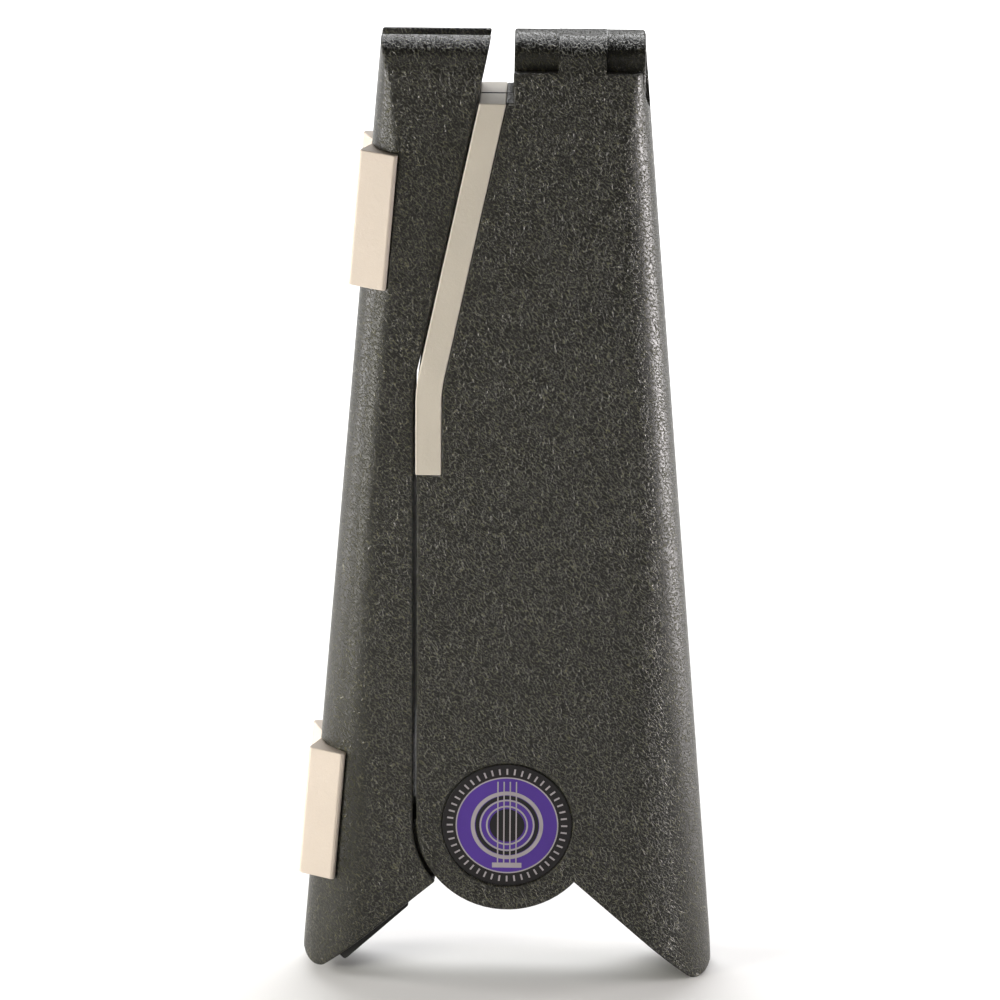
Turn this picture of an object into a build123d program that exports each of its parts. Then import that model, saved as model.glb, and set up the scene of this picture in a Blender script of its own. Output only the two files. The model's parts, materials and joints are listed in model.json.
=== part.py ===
"""Folding stand for a ukulele or small guitar, folded shut.

The stand is two mirror-image halves, front (-Y) and rear (+Y), hinged together at the top by a three-knuckle
hinge on the middle plane.  Each half is an upright with a round pivot boss, and an arm that lies beside the
upright and swings down about the boss to carry the instrument.  Soft pads line the edges that touch the
instrument, wedge feet line the arm's outer edge, and a rubber bumper stops the arm against the upright.

+Z is up, +X is to the right, and the origin is on the floor under the middle of the folded stand.
Every piece is drawn for the front half, with depths measured from the middle plane towards -Y, and mirrored
for the rear half.
"""
import os
from math import atan, cos, degrees, radians, sin, tan

from build123d import *

os.makedirs("parts", exist_ok=True)

# ---- Driving dimensions, in millimetres and degrees ----
HEIGHT = 236.0            # top of the hinge above the floor
FOOT_HALF_WIDTH = 51.0    # half the folded width at floor level
SIDE_SLOPE = 0.085        # how fast the outer sides draw in, per millimetre of height
TOP_DEPTH = 11.2          # depth of one half at the top
DEPTH_SLOPE = 0.010       # how fast a half deepens towards the floor
FLAT_SIDE = 1.5           # flat band of the outer side next to the middle plane
# The long outer edges are rounded over this width at each height; the round fades out at the top.
SIDE_ROUNDS = [(-20.0, 19.0), (127.0, 8.8), (205.0, 8.0), (239.5, 0.5)]
HALF_GAP = 0.2            # each half stops this far short of the middle plane
WALL = 2.2                # moulded wall
RIB = 1.6                 # moulded rib
CENTRE_X = 0.353          # the pivots stand this far right of the folded stand's middle

PIVOT_Z = 41.2            # height of the pivot boss
BOSS_R = 22.2
SEAM = 0.8                # gap between arm and upright
BEND_Z = 152.0            # where the inner edges start to slope
BEND_R = 40.0
INNER_SLOPE = 0.214      # slope of the inner edges above the bend
STEP_Z = 221.3            # top end of the backrest pad
UPRIGHT_LEFT = 0.3        # left side of the hinge end of the upright
UPRIGHT_DIAGONAL = -41.9  # direction of the upright's stop face from the pivot
ARM_DIAGONAL = 220.6      # direction of the arm's stop face from the pivot
ARM_TIP_R = 3.4
LINE_SLOPE = 0.05         # the outline's outer line, which trims only the tips

HINGE_R = 8.5
HINGE_Z = HEIGHT - HINGE_R
HINGE_CLEAR = 0.3
LEDGE_Z = HINGE_Z + 1.1   # top of each half's wall in front of the other half's knuckles
KNUCKLES = (UPRIGHT_LEFT, 10.8, 22.0, 31.2)   # the ends of the three knuckles
KNUCKLE_GAP = 0.08        # each knuckle gives up this much at a joint
KNUCKLE_CREST = 4.6       # how far the middle knuckle's flat top reaches past the middle plane
PIN_R = 1.6
PIN_CLEAR = 0.06
PIN_ENDS = (1.0, 29.6)
SPREAD = 38.0             # full spread of the two halves
BLOCK_Z = 213.0           # the hinge end is solid above this
ARM_BLOCK_Z = 219.5       # and the arm above this

COVER = 2.0               # thickness of the inner cover plates
COVER_FIT = 0.1           # gap all round a cover plate
CAP_INNER = 10.8          # depth of the boss cap's inner face
LUG = (5.0, 10.5)         # depths of the arm's pivot lug
LUG_R = 20.6
LUG_CLEAR = 0.3
NECK = (184.0, 220.0)     # directions of the neck that joins lug and arm
SWING = 94.9
POST_R = 5.0
POST_CLEAR = 0.06

PAD_TOP, PAD_BOTTOM = STEP_Z, 130.4
PAD_PROUD = 0.3
PAD_FLANGE = 6.2
PAD_SIDE = 1.8
PAD_SKIN = 1.3
PAD_FIT = 0.03            # gap between the pad's flange and the moulding beside it
PAD_NEAR = 1.6            # depth of the pad's edge near the middle plane
PAD_HEAD = 4.0            # height of the solid block at the pad's top end
PAD_HEAD_NEAR = 0.4       # depth of the block's edge near the middle plane
CRADLE = (64.0, 214.0)    # heights of the cradle pad's ends
CRADLE_THICK = 1.2
CRADLE_DEPTHS = (2.4, 9.2)
CRADLE_WALL = 3.2

FOOT_LENGTH = 33.0
FOOT_PROUD = 2.8          # how far the foot's outer lip stands out of the arm's side
FOOT_TIP_DEPTH = 9.6
FOOT_REACH = 9.3          # width of the sole
FOOT_INNER = 3.4
FOOT_SEAT = 1.8           # wall behind a foot
TOE_Z, HEEL_Z = 176.4, 26.6   # heights of the feet's lower ends

BUMPER = (32.5, 54.5)     # radii of the bumper's ends from the pivot
BUMPER_ANGLE = 2.3        # the bumper's wedge
BUMPER_DEPTHS = (1.8, 10.8)

BADGE_R = 15.8
BADGE_RECESS = 0.6
BADGE_THICK = 0.4

UPRIGHT_SCREWS = [(13.0, 88.0), (11.0, 142.0), (12.0, 200.0)]
UPRIGHT_RIBS = [70.0, 115.0, 170.0]
ARM_SCREWS = [(-33.0, 68.0), (-32.0, 128.0), (-21.5, 214.5)]
ARM_RIBS = [100.0, 160.0]
SCREW_R = 1.1
SCREW_HEAD_R = 2.2
SCREW_BOSS_R = 3.0
SCREW_TIP = 8.5
PIVOT = (0.0, PIVOT_Z)
PIVOT_SCREW_R = 1.5
PIVOT_HEAD = (2.4, 3.25)  # depths of the pivot screw's head
WAVE = (3.3, 3.9)         # depths of the spring washer
WASHER = (3.95, 4.9)      # depths of the flat washer
PIVOT_TIP = 9.4

FAR = 40.0                # safely beyond the stand, for cutting tools
FRONT_VIEW = Plane(origin=(CENTRE_X, 0, 0), x_dir=(1, 0, 0), z_dir=(0, -1, 0))


# ---- Lines of the front view ----
def half_width(z):
    return FOOT_HALF_WIDTH - SIDE_SLOPE * z


def depth(z):
    return TOP_DEPTH + DEPTH_SLOPE * (HEIGHT - z)


def line_x(z):
    """The outline's outer line: it cuts the moulded side only at the tip."""
    return half_width(8.0) + LINE_SLOPE * (8.0 - z)


def polar(radius, angle):
    """A point of the front view at this radius and angle from the pivot."""
    return (radius * cos(radians(angle)), PIVOT_Z + radius * sin(radians(angle)))


def inner_x(z, shift=0.0):
    """The sloping part of the inner edges; shift 0 is the upright's side of the seam."""
    return -BOSS_R + shift + INNER_SLOPE * (z - BEND_Z)


def tip(angle):
    """Where a stop face's line from the pivot meets the outer line, for an angle below the horizontal."""
    drop = radians(angle)
    reach = (line_x(0) - LINE_SLOPE * PIVOT_Z) / (cos(drop) - LINE_SLOPE * sin(drop))
    return reach * cos(drop), PIVOT_Z - reach * sin(drop)


def tip_radius_to_floor(angle):
    """The corner radius whose lowest point just touches the floor."""
    lean = degrees(atan(LINE_SLOPE))
    half_corner = (90 - lean - angle) / 2
    bisector = angle + half_corner
    return -tip(angle)[1] / (sin(radians(bisector)) / sin(radians(half_corner)) - 1)


def nearest_corner(sketch, x, y):
    """The corner nearest a point given in the sketch's own plane."""
    return sketch.vertices().sort_by_distance((x, y, 0))[0]


def upright_outline():
    """Boss, stop face, tip, outer side, hinge end and inner edge."""
    corner = tip(-UPRIGHT_DIAGONAL)
    start, end = polar(BOSS_R, 180), polar(BOSS_R, UPRIGHT_DIAGONAL)
    over = HEIGHT + 5
    with BuildSketch() as outline:
        with BuildLine():
            Polyline(
                end, corner, (line_x(over), over), (UPRIGHT_LEFT, over), (UPRIGHT_LEFT, STEP_Z),
                (inner_x(STEP_Z), STEP_Z), (-BOSS_R, BEND_Z), start,
            )
            ThreePointArc(start, polar(BOSS_R, 248), end)
        make_face()
        fillet(nearest_corner(outline, -BOSS_R, BEND_Z), BEND_R)
        fillet(nearest_corner(outline, *corner), tip_radius_to_floor(-UPRIGHT_DIAGONAL))
    return outline.sketch


def arm_outline():
    """The arm wraps a little way round the boss and ends in its own stop face."""
    radius = BOSS_R + SEAM
    low_x, low_z = tip(ARM_DIAGONAL - 180)
    start, end = polar(radius, 180), polar(radius, ARM_DIAGONAL)
    over = HEIGHT + 5
    with BuildSketch() as outline:
        with BuildLine():
            Polyline(
                end, (-low_x, low_z), (-line_x(over), over), (inner_x(over, -SEAM), over),
                (-radius, BEND_Z), start,
            )
            ThreePointArc(start, polar(radius, (180 + ARM_DIAGONAL) / 2), end)
        make_face()
        fillet(nearest_corner(outline, -radius, BEND_Z), BEND_R + SEAM)
        fillet(nearest_corner(outline, -low_x, low_z), ARM_TIP_R)
    return outline.sketch


def edge_band(low, high, start, width):
    """A strip along the inner edges, from start to start + width right of the upright's edge."""
    middle = start + width / 2
    bend = BEND_Z - middle * tan(atan(INNER_SLOPE) / 2)
    bottom, top = min(low, BEND_Z - BEND_R / 2) - 10, high + 10
    with BuildSketch() as band:
        with BuildLine() as line:
            FilletPolyline(
                (middle - BOSS_R, bottom), (middle - BOSS_R, bend),
                (middle - BOSS_R + INNER_SLOPE * (top - bend), top),
                radius=BEND_R - middle,
            )
        trace(line.line, width)
        with Locations((0, (low + high) / 2)):
            Rectangle(4 * FAR, high - low, mode=Mode.INTERSECT)
    return band.sketch


def disc(radius, centre=PIVOT):
    with BuildSketch() as circle:
        with Locations(centre):
            Circle(radius)
    return circle.sketch


def ring_sector(inner, outer, first, last):
    """Part of a ring round the pivot, between two directions."""
    middle = (first + last) / 2
    with BuildSketch() as sector:
        with BuildLine():
            ThreePointArc(polar(outer, first), polar(outer, middle), polar(outer, last))
            Line(polar(outer, last), polar(inner, last))
            ThreePointArc(polar(inner, last), polar(inner, middle), polar(inner, first))
            Line(polar(inner, first), polar(outer, first))
        make_face()
    return sector.sketch


# ---- Features, each added to the part that is being built ----
def plate(outline, near_depth, far_depth, mode=Mode.ADD):
    """A slab of a front-view outline between two depths."""
    with BuildSketch(FRONT_VIEW.offset(near_depth)) as face:
        add(outline)
    extrude(face.sketch, amount=far_depth - near_depth, mode=mode)


def envelope(grow=0.0):
    """The outer body of one half: flat on the middle plane, rounded along both sides and over the top."""
    with BuildPart() as body:
        for z, round_width in SIDE_ROUNDS:
            wide, deep = half_width(z) + grow, depth(z) + grow
            x_radius, y_radius = max(round_width + grow, 0.3), deep - FLAT_SIDE
            with BuildSketch(Plane((CENTRE_X, 0, z))):
                with BuildLine():
                    right = EllipticalCenterArc((wide - x_radius, -FLAT_SIDE), x_radius, y_radius, -90, arc_size=90)
                    left = EllipticalCenterArc((x_radius - wide, -FLAT_SIDE), x_radius, y_radius, 180, arc_size=90)
                    Line(left @ 1, right @ 0)
                    Polyline(right @ 1, (wide, 0), (-wide, 0), left @ 0)
                make_face()
        loft(ruled=True)
        with BuildSketch(Plane.YZ):
            top, radius = HEIGHT + grow, HINGE_R + grow
            front = -depth(HINGE_Z) - grow
            with BuildLine():
                crown = CenterArc((front + radius, HINGE_Z), radius, 90, 90)
                Polyline(crown @ 1, (-FAR, HINGE_Z), (-FAR, -FAR / 2), (0, -FAR / 2), (0, top), crown @ 0)
            make_face()
        extrude(amount=FAR * 2, both=True, mode=Mode.INTERSECT)
    return body.part


def hollow(outline, top_z, ribs, screw_places):
    """The space inside a moulding, open towards the middle plane, less its ribs and screw bosses."""
    under_cover = HALF_GAP + COVER + COVER_FIT
    plate(offset(outline, amount=-WALL, mode=Mode.PRIVATE), 0, 30)
    add(INNER, mode=Mode.INTERSECT)
    with Locations((0, 0, top_z + FAR)):
        Box(4 * FAR, 4 * FAR, 2 * FAR, mode=Mode.SUBTRACT)
    for rib_z in ribs:
        with Locations((0, -under_cover - FAR / 2, rib_z)):
            Box(4 * FAR, FAR, RIB, mode=Mode.SUBTRACT)
    for place in screw_places:
        plate(disc(SCREW_BOSS_R, place), under_cover, FAR, Mode.SUBTRACT)


def cover_plate(outline, top_z, screw_places):
    """The plate that closes a moulding on its middle-plane side, with countersunk screw holes."""
    plate(offset(outline, amount=-WALL - COVER_FIT, mode=Mode.PRIVATE), HALF_GAP, HALF_GAP + COVER)
    add(COVER_LIMIT, mode=Mode.INTERSECT)
    with Locations((0, 0, top_z - COVER_FIT + FAR)):
        Box(4 * FAR, 4 * FAR, 2 * FAR, mode=Mode.SUBTRACT)
    for place in screw_places:
        plate(disc(SCREW_R + 0.2, place), 0, 5, Mode.SUBTRACT)
        plate(disc(SCREW_HEAD_R + 0.1, place), 0, HALF_GAP + 1.1, Mode.SUBTRACT)


def foot(low_z, swell=0.0, mode=Mode.ADD):
    """The wedge foot, run along the arm's outer side; swell makes the wall behind it."""
    base = Plane(
        origin=(CENTRE_X - half_width(low_z), 0, low_z), x_dir=(-1, 0, SIDE_SLOPE), z_dir=(SIDE_SLOPE, 0, 1)
    )
    sole_depth = FOOT_TIP_DEPTH + FOOT_REACH * tan(radians(SPREAD / 2))
    inner = FOOT_PROUD - FOOT_REACH
    with BuildSketch(base.offset(-swell)) as section:
        with BuildLine():
            Polyline(
                (-0.7, HALF_GAP), (FOOT_PROUD, FOOT_TIP_DEPTH), (inner, sole_depth), (inner, 8.6),
                (-FOOT_INNER, 5.0), (-FOOT_INNER, HALF_GAP), close=True,
            )
        make_face()
        if swell:
            offset(amount=swell, kind=Kind.INTERSECTION)
        else:
            fillet(nearest_corner(section, FOOT_PROUD, FOOT_TIP_DEPTH), 1.0)
            fillet(nearest_corner(section, inner, sole_depth), 0.8)
    extrude(section.sketch, amount=FOOT_LENGTH + 2 * swell, mode=mode)


def along_hinge(radius, low, high, mode=Mode.ADD):
    """A cylinder on the hinge axis between two positions across the stand."""
    with Locations(Location((CENTRE_X + (low + high) / 2, 0, HINGE_Z), (0, 90, 0))):
        Cylinder(radius, high - low, mode=mode)


def knuckle_room(low, high):
    """Cut room for the other half's knuckle: its barrel, and everything above the ledge."""
    along_hinge(HINGE_R + HINGE_CLEAR, low, high, Mode.SUBTRACT)
    with Locations((CENTRE_X + (low + high) / 2, 0, LEDGE_Z + FAR)):
        Box(high - low, 2 * FAR, 2 * FAR, mode=Mode.SUBTRACT)


def upright_moulding(own_knuckles, other_knuckles):
    """The moulded upright with its boss cap, pivot post, ribs and hinge knuckles."""
    plate(UPRIGHT, HALF_GAP, 30)
    add(OUTER, mode=Mode.INTERSECT)
    add(upright_space.part, mode=Mode.SUBTRACT)
    for place in UPRIGHT_SCREWS:
        plate(disc(SCREW_R, place), 0, 9, Mode.SUBTRACT)

    # The arm's lug turns inside the boss, and its neck sweeps a slot in the boss's side.
    near, far = LUG[0] - LUG_CLEAR, LUG[1] + LUG_CLEAR
    plate(disc(LUG_R + LUG_CLEAR), near, far, Mode.SUBTRACT)
    plate(ring_sector(15.0, BOSS_R + 1, NECK[0] - 3, NECK[1] + SWING + 3), near, far, Mode.SUBTRACT)
    plate(disc(POST_R), LUG[0], CAP_INNER + 0.5)
    plate(disc(PIVOT_SCREW_R), 0, PIVOT_TIP + 0.2, Mode.SUBTRACT)

    # The backrest pad sits in a rebate round the inner front edge.
    plate(edge_band(PAD_BOTTOM, PAD_TOP + 1, -3, PAD_SIDE - PAD_PROUD + 3), PAD_NEAR, 30, Mode.SUBTRACT)
    add(pad_flange_room.part, mode=Mode.SUBTRACT)
    plate(
        edge_band(PAD_TOP - PAD_HEAD, PAD_TOP + 1, -3, PAD_FLANGE - PAD_PROUD + 3), PAD_HEAD_NEAR, 30, Mode.SUBTRACT
    )
    plate(disc(BADGE_R + 0.2), depth(PIVOT_Z) - BADGE_RECESS, 30, Mode.SUBTRACT)

    for low, high in other_knuckles:
        reach = FAR if high == KNUCKLES[-1] else KNUCKLE_GAP
        knuckle_room(low - KNUCKLE_GAP, high + reach)
    for low, high in own_knuckles:
        along_hinge(HINGE_R, low + KNUCKLE_GAP, high - KNUCKLE_GAP)
    along_hinge(PIN_R + PIN_CLEAR, UPRIGHT_LEFT - 5, 60, Mode.SUBTRACT)


def screws(places, head_depth, head_height, tip_depth, radius, head_radius):
    """Screws driven from the middle plane, with a shallow drive recess."""
    for place in places:
        plate(disc(head_radius, place), head_depth, head_depth + head_height)
        plate(disc(radius, place), head_depth + head_height, tip_depth)
        plate(disc(head_radius * 0.4, place), 0, head_depth + head_height * 0.5, Mode.SUBTRACT)


# ---- Shapes shared by several pieces ----
OUTER = envelope()
INNER = envelope(-WALL)
COVER_LIMIT = envelope(-WALL - COVER_FIT)
PAD_LIMIT = envelope(0.25)
PAD_INNER = envelope(-PAD_SKIN)
UPRIGHT = upright_outline()
ARM = arm_outline()
MIDDLE_KNUCKLE = [KNUCKLES[1:3]]
OUTER_KNUCKLES = [KNUCKLES[0:2], KNUCKLES[2:4]]

with BuildPart() as upright_space:
    hollow(UPRIGHT, BLOCK_Z, UPRIGHT_RIBS, UPRIGHT_SCREWS)
    plate(disc(BOSS_R), CAP_INNER, FAR, Mode.SUBTRACT)
    plate(
        edge_band(PAD_BOTTOM - WALL, PAD_TOP, -1.0, PAD_FLANGE + WALL),
        HALF_GAP + COVER + COVER_FIT, FAR, Mode.SUBTRACT,
    )

with BuildPart() as arm_space:
    hollow(ARM, ARM_BLOCK_Z, ARM_RIBS, ARM_SCREWS)
    for low_z in (TOE_Z, HEEL_Z):
        foot(low_z, FOOT_SEAT, Mode.SUBTRACT)
    plate(edge_band(CRADLE[0] - 2, CRADLE[1] + 2, -SEAM - CRADLE_WALL, CRADLE_WALL), 0, FAR, Mode.SUBTRACT)

with BuildPart() as pad_flange_room:
    plate(edge_band(PAD_BOTTOM, PAD_TOP + 1, -3, PAD_FLANGE - PAD_PROUD + 3), 5, 30)
    add(PAD_INNER, mode=Mode.SUBTRACT)

with BuildPart() as arm_top_lean:
    # Above the hinge axis the arm's inner face leans back, so the two arms clear each other when spread.
    with BuildSketch(Plane.YZ):
        with BuildLine():
            Polyline(
                (1, HINGE_Z), (-HALF_GAP, HINGE_Z), (-HALF_GAP - FAR * tan(radians(SPREAD / 2 + 1)), HINGE_Z + FAR),
                (1, HINGE_Z + FAR), close=True,
            )
        make_face()
    extrude(amount=FAR * 2, both=True)

# ---- Uprights ----
with BuildPart() as front_upright_shell:
    upright_moulding(MIDDLE_KNUCKLE, OUTER_KNUCKLES)
    # The middle knuckle's top runs flat over the barrel, level with the crown of the half behind it.
    low, high = KNUCKLES[1] + KNUCKLE_GAP, KNUCKLES[2] - KNUCKLE_GAP
    with Locations((CENTRE_X + (low + high) / 2, KNUCKLE_CREST / 2, HEIGHT - HINGE_R / 4)):
        Box(high - low, KNUCKLE_CREST, HINGE_R / 2)
    along_hinge(PIN_R + PIN_CLEAR, UPRIGHT_LEFT - 5, 60, Mode.SUBTRACT)

with BuildPart() as outer_knuckle_upright:
    upright_moulding(OUTER_KNUCKLES, MIDDLE_KNUCKLE)

with BuildPart() as rear_upright_shell:
    mirror(outer_knuckle_upright.part, about=Plane.XZ)

with BuildPart() as upright_cover:
    cover_plate(UPRIGHT, BLOCK_Z, UPRIGHT_SCREWS)

with BuildPart() as upright_screws:
    screws(UPRIGHT_SCREWS, HALF_GAP + 0.1, 1.0, SCREW_TIP, SCREW_R, SCREW_HEAD_R)

with BuildPart() as backrest_pad:
    plate(edge_band(PAD_BOTTOM, PAD_TOP, -PAD_PROUD, PAD_FLANGE - PAD_FIT), 5, 30)
    add(PAD_INNER, mode=Mode.SUBTRACT)
    plate(edge_band(PAD_BOTTOM, PAD_TOP, -PAD_PROUD, PAD_SIDE), PAD_NEAR, 30)
    plate(edge_band(PAD_TOP - PAD_HEAD, PAD_TOP, -PAD_PROUD, PAD_FLANGE - PAD_FIT), PAD_HEAD_NEAR, 30)
    add(PAD_LIMIT, mode=Mode.INTERSECT)

with BuildPart() as badge:
    plate(disc(BADGE_R), depth(PIVOT_Z) - BADGE_RECESS, depth(PIVOT_Z) - BADGE_RECESS + BADGE_THICK)

with BuildPart() as pivot_washer:
    plate(disc(8.0), *WASHER)
    plate(disc(PIVOT_SCREW_R + 0.2), 0, FAR, Mode.SUBTRACT)

with BuildPart() as wave_washer:
    plate(disc(7.0), *WAVE)
    plate(disc(PIVOT_SCREW_R * 2), 0, FAR, Mode.SUBTRACT)

with BuildPart() as pivot_screw:
    screws([PIVOT], PIVOT_HEAD[0], PIVOT_HEAD[1] - PIVOT_HEAD[0], PIVOT_TIP, PIVOT_SCREW_R, 4.0)

# ---- Arms ----
with BuildPart() as arm_shell:
    plate(ARM, HALF_GAP, 30)
    add(OUTER, mode=Mode.INTERSECT)
    add(arm_space.part, mode=Mode.SUBTRACT)
    for place in ARM_SCREWS:
        plate(disc(SCREW_R, place), 0, 9, Mode.SUBTRACT)
    for low_z in (TOE_Z, HEEL_Z):
        foot(low_z, mode=Mode.SUBTRACT)
    plate(edge_band(*CRADLE, -SEAM - CRADLE_THICK, 3), *CRADLE_DEPTHS, Mode.SUBTRACT)
    add(arm_top_lean.part, mode=Mode.SUBTRACT)
    plate(ring_sector(15.0, BOSS_R + SEAM + 1.0, *NECK), *LUG)
    plate(disc(LUG_R), *LUG)
    plate(disc(POST_R + POST_CLEAR), 0, 20, Mode.SUBTRACT)

with BuildPart() as arm_cover:
    cover_plate(ARM, ARM_BLOCK_Z, ARM_SCREWS)
    for low_z in (TOE_Z, HEEL_Z):
        foot(low_z, FOOT_SEAT + COVER_FIT, Mode.SUBTRACT)
    cradle_back = edge_band(CRADLE[0] - 2.1, CRADLE[1] + 2.1, -SEAM - CRADLE_WALL - COVER_FIT, CRADLE_WALL + COVER_FIT)
    plate(cradle_back, 0, 30, Mode.SUBTRACT)

with BuildPart() as arm_screws:
    screws(ARM_SCREWS, HALF_GAP + 0.1, 1.0, SCREW_TIP, SCREW_R, SCREW_HEAD_R)

with BuildPart() as cradle_pad:
    strip = edge_band(CRADLE[0] + 0.1, CRADLE[1] - 0.1, -SEAM - CRADLE_THICK, CRADLE_THICK)
    plate(strip, CRADLE_DEPTHS[0] + 0.1, CRADLE_DEPTHS[1] - 0.1)

with BuildPart() as toe_foot:
    foot(TOE_Z)

with BuildPart() as heel_foot:
    foot(HEEL_Z)

with BuildPart() as stop_bumper:
    low, high = BUMPER
    first, last = ARM_DIAGONAL, ARM_DIAGONAL + BUMPER_ANGLE
    with BuildSketch(FRONT_VIEW.offset(BUMPER_DEPTHS[0])) as wedge:
        with BuildLine():
            Polyline(polar(low, first), polar(high, first), polar(high, last), polar(low, last), close=True)
        make_face()
        fillet(nearest_corner(wedge, *polar(high, last)), 0.9)
        fillet(nearest_corner(wedge, *polar(low, last)), 0.9)
    extrude(amount=BUMPER_DEPTHS[1] - BUMPER_DEPTHS[0])

with BuildPart() as hinge_pin:
    along_hinge(PIN_R, *PIN_ENDS)


# ---- Labels and files ----
def finish(piece, name):
    piece.part.label = name
    export_step(piece.part, "parts/" + name + ".step")
    box = piece.part.bounding_box()
    print(name, len(piece.part.solids()), round(piece.part.volume), tuple(box.min), tuple(box.max))


BOTH_HALVES = {
    "upright_cover": upright_cover,
    "upright_screws": upright_screws,
    "backrest_pad": backrest_pad,
    "badge": badge,
    "pivot_washer": pivot_washer,
    "wave_washer": wave_washer,
    "pivot_screw": pivot_screw,
    "arm_shell": arm_shell,
    "arm_cover": arm_cover,
    "arm_screws": arm_screws,
    "cradle_pad": cradle_pad,
    "toe_foot": toe_foot,
    "heel_foot": heel_foot,
    "stop_bumper": stop_bumper,
}
finish(front_upright_shell, "front_upright_shell")
finish(rear_upright_shell, "rear_upright_shell")
finish(hinge_pin, "hinge_pin")
for name, front_piece in BOTH_HALVES.items():
    finish(front_piece, "front_" + name)
    with BuildPart() as rear_piece:
        mirror(front_piece.part, about=Plane.XZ)
    finish(rear_piece, "rear_" + name)
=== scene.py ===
"""Folding ukulele stand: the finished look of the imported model, laid out as a Blender add-on."""

import json
import math

import bmesh
import bpy
from bpy.props import FloatProperty, FloatVectorProperty, IntProperty, PointerProperty
from bpy.types import Operator, Panel, PropertyGroup
from mathutils import Euler, Matrix, Vector


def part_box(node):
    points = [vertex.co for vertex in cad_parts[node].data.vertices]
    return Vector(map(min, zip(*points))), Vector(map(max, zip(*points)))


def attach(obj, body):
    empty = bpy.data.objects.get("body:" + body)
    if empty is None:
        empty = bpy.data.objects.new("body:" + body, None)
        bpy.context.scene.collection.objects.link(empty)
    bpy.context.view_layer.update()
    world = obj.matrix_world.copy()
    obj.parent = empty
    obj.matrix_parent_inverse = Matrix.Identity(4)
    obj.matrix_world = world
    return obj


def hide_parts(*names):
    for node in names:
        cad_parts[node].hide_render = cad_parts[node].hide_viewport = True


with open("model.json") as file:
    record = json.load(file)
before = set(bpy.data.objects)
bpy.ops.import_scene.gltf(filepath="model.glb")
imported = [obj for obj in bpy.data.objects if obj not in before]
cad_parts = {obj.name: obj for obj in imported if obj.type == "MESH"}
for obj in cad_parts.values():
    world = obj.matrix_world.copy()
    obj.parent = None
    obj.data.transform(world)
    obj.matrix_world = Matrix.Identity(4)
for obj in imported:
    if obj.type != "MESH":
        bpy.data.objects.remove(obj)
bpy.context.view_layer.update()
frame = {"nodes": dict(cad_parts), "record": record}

bl_info = {
    "name": "Folding Ukulele Stand",
    "version": (1, 0, 0),
    "blender": (4, 5, 0),
    "location": "View3D > Sidebar > Stand",
    "description": "Builds the moulded, rubber and steel pieces of a folding ukulele stand",
    "category": "Object",
}

MM = 0.001
SIDES = ("front", "rear")

WELD = 2e-6              # corners this close are one corner
SLIVER = 0.09 * MM       # edges shorter than this are closed up
BEVEL_ANGLE = math.radians(28)   # edges sharper than this are rounded
SHARP_ANGLE = math.radians(32)   # edges sharper than this stay sharp in the shading
INK = 0.04 * MM          # thickness of the badge's print
DUST = (0.2, 0.19, 0.17)
# Inner and outer radii of the badge's pale rings, against its own radius. The first is a painted highlight of
# the recess rim, drawn as pale ink on the border; the others are the printed sound-hole drawing.
PRINT_AND_RIM_HIGHLIGHT_RINGS = ((0.775, 0.795), (0.50, 0.56), (0.40, 0.425), (0.30, 0.325))
# The studio lamps: name, place, size, power and colour. All but the last, which faces down, face the stand.
WHITE = (1.0, 1.0, 1.0)
LAMPS = (
    ("left_strip", (-0.38, -0.27, 0.10), (0.10, 0.20), 1.9, (1.0, 0.97, 0.88)),
    ("left_rim", (-0.55, 0.02, 0.16), (0.20, 0.30), 3.2, (1.0, 0.97, 0.95)),
    ("right_strip", (0.50, 0.04, 0.09), (0.26, 0.18), 4.2, (1.0, 0.95, 0.94)),
    ("front_softbox", (-0.20, -1.05, 1.0), (0.30, 0.22), 1.9, (1.0, 0.97, 0.86)),
    ("backdrop_light", (0.0, 1.05, 0.95), (1.6, 0.8), 38.0, WHITE),
)
AIM = Vector((0.0, 0.0, 0.12))   # what the camera and the lamps look at
CAMERA_DISTANCE = 1.2
SENSOR = 36.0
LENS_PER_SENSOR = 4.961
LENS_SHIFT = (-0.0087, 0.002)
DIM_SKY, SEEN_SKY = 0.06, 1.0    # how bright the sky lights the stand, and how bright it is behind it
# The pivot's place, from the round badge of the front half.
_badge_low, _badge_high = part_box("front_badge")
PIVOT_X = (_badge_low.x + _badge_high.x) / 2
PIVOT_Z = (_badge_low.z + _badge_high.z) / 2
BADGE_RADIUS = (_badge_high.x - _badge_low.x) / 2
# Where along the hinge one knuckle ends and the next begins, and the height above which they meet.
_pin_low, _pin_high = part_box("hinge_pin")
KNUCKLE_SEAMS = (11.15 * MM, 22.35 * MM)
KNUCKLE_FOOT = (_pin_low.z + _pin_high.z) / 2 - 8.6 * MM
BODY_OF_NODE = {
    node: body for body, nodes in frame["record"]["behaviour"]["bodies"].items() for node in nodes
}


# ---------------------------------------------------------------- settings
class ShellSettings(PropertyGroup):
    colour: FloatVectorProperty(
        name="Moulding colour", description="Base colour of the grained plastic",
        subtype="COLOR", size=3, min=0.0, max=1.0, default=(0.0062, 0.0060, 0.0028),
    )
    # Painted highlight: the paler crest colour stands in for the glints of light on the grain's raised
    # wrinkles.
    crest_glint_colour: FloatVectorProperty(
        name="Crest colour", description="Colour of the grain's raised wrinkles",
        subtype="COLOR", size=3, min=0.0, max=1.0, default=(0.125, 0.120, 0.078),
    )
    edge_radius: FloatProperty(
        name="Edge rounding", description="How far the moulded edges are rounded", unit="LENGTH",
        min=0.0, default=0.55 * MM,
    )
    grain_size: FloatProperty(
        name="Grain size", description="Typical size of one pebble of the leather grain", unit="LENGTH",
        min=0.1 * MM, default=1.7 * MM,
    )
    grain_depth: FloatProperty(
        name="Grain depth", description="Height of the leather grain", unit="LENGTH",
        min=0.0, default=0.20 * MM,
    )


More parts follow.
